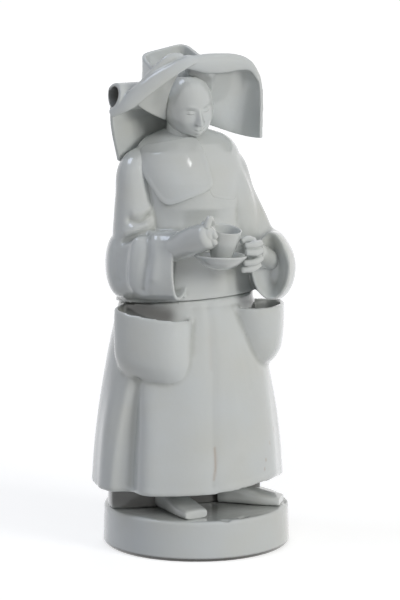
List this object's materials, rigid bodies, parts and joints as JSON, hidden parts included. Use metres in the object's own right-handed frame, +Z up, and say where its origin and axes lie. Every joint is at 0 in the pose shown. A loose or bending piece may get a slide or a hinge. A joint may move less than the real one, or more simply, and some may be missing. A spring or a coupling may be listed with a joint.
{
  "type": "figural veilleuse",
  "caption": "Glazed porcelain night-light teapot as a standing woman with a winged headdress and a cup: the upper body lifts off a hollow skirt that holds the lamp.",
  "frame": {"origin": "centre of the plinth's foot ring, in the plane it stands on", "axes": "+Z up, the figure looks to -Y, her right hand is on -X"},
  "size_m": [0.1354, 0.1403, 0.3319],
  "materials": {
    "porcelain": "gloss",
    "cork": "matte",
    "tin": "satin",
    "cotton": "matte"
  },
  "bodies": {
    "stand": {"plinth": "porcelain", "underskirt": "porcelain", "skirt": "porcelain", "right_pocket": "porcelain", "left_pocket": "porcelain", "right_shoe": "porcelain", "left_shoe": "porcelain"},
    "teapot": {"torso": "porcelain", "right_sleeve": "porcelain", "left_sleeve": "porcelain", "right_collar": "porcelain", "left_collar": "porcelain", "right_hand": "porcelain", "left_hand": "porcelain", "cup": "porcelain", "saucer": "porcelain", "head": "porcelain", "cap": "porcelain", "back_fold": "porcelain", "left_wing": "porcelain", "right_wing": "porcelain", "brim": "porcelain", "spout": "porcelain"},
    "oil_cup": {"godet": "porcelain"},
    "float_light": {"float": "cork", "wick_holder": "tin", "wick": "cotton"}
  },
  "joints": [
    {"name": "teapot_lift", "type": "slide", "parent": "stand", "child": "teapot", "axis": [0, 0, 1], "range_m": [0, 0.12]},
    {"name": "oil_cup_slide", "type": "slide", "parent": "stand", "child": "oil_cup", "axis": [0, 1, 0], "range_m": [0, 0.11]},
    {"name": "float_lift", "type": "slide", "parent": "oil_cup", "child": "float_light", "axis": [0, 0, 1], "range_m": [0, 0.03]}
  ]
}
